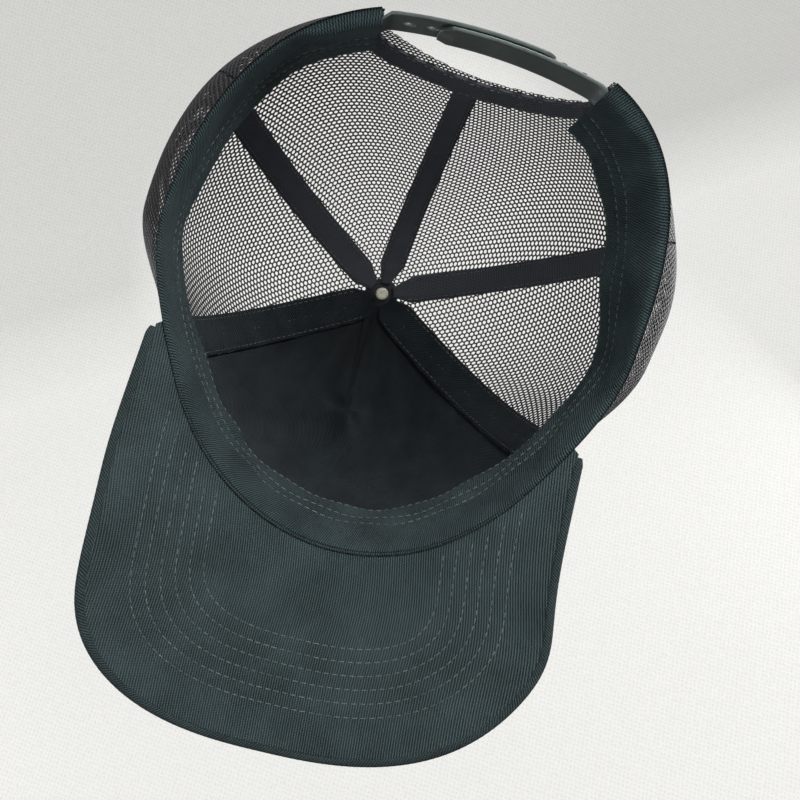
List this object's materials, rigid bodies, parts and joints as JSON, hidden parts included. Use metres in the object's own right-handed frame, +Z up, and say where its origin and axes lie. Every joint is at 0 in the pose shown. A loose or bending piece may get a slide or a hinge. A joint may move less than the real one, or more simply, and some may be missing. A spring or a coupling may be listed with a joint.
{
  "type": "trucker cap",
  "caption": "Five-panel trucker cap with a twill front, netting sides and back, curved brim, sweatband and snap strap closure.",
  "frame": {"origin": "centre of the head opening, in the plane of the rim at the wearer's sides", "axes": "+Z up through the crown's top button, -Y forward along the brim, +X to the wearer's left"},
  "size_m": [0.1985, 0.2649, 0.1506],
  "materials": {
    "front_twill": "black cotton twill, matt, fine diagonal wale",
    "netting": "black polyester net with hexagonal holes, slight sheen",
    "seam_tape": "black woven tape, matt",
    "sweatband_twill": "black cotton twill with stitched rows, matt",
    "brim_twill": "slate black cotton twill with stitched rows, matt",
    "brim_board": "moulded board, matt",
    "strap_plastic": "dark grey moulded plastic, semi-gloss",
    "button_metal": "pressed metal",
    "rivet_enamel": "cream enamel, satin"
  },
  "bodies": {
    "cap": {"front_panel": "front_twill", "seam_band_front_left": "front_twill", "seam_band_front_right": "front_twill", "mesh_side_left": "netting", "mesh_back_left": "netting", "mesh_back_right": "netting", "mesh_side_right": "netting", "seam_tape_side_left": "seam_tape", "seam_tape_side_right": "seam_tape", "seam_tape_centre_back": "seam_tape", "arch_binding": "seam_tape", "sweatband": "sweatband_twill", "brim_under_cloth": "brim_twill", "brim_upper_cloth": "brim_twill", "brim_edge_binding": "brim_twill", "brim_board": "brim_board", "hole_strap_sewn_end": "strap_plastic", "peg_strap_sewn_end": "strap_plastic", "button_cover": "front_twill", "button_shell": "button_metal", "button_rivet": "rivet_enamel"},
    "hole_strap": {"hole_strap": "strap_plastic"},
    "peg_strap": {"peg_strap": "strap_plastic"}
  },
  "joints": [
    {"name": "hole_strap_bend", "type": "hinge", "parent": "cap", "child": "hole_strap", "pos_m": [0.03306, 0.09073, 0.012], "axis": [0, 0, -1], "range_deg": [0, 75], "stiffness_Nm_per_rad": 0.02},
    {"name": "peg_strap_bend", "type": "hinge", "parent": "cap", "child": "peg_strap", "pos_m": [-0.04818, 0.09009, 0.012], "axis": [0, 0, -1], "range_deg": [0, 45], "stiffness_Nm_per_rad": 0.02}
  ]
}
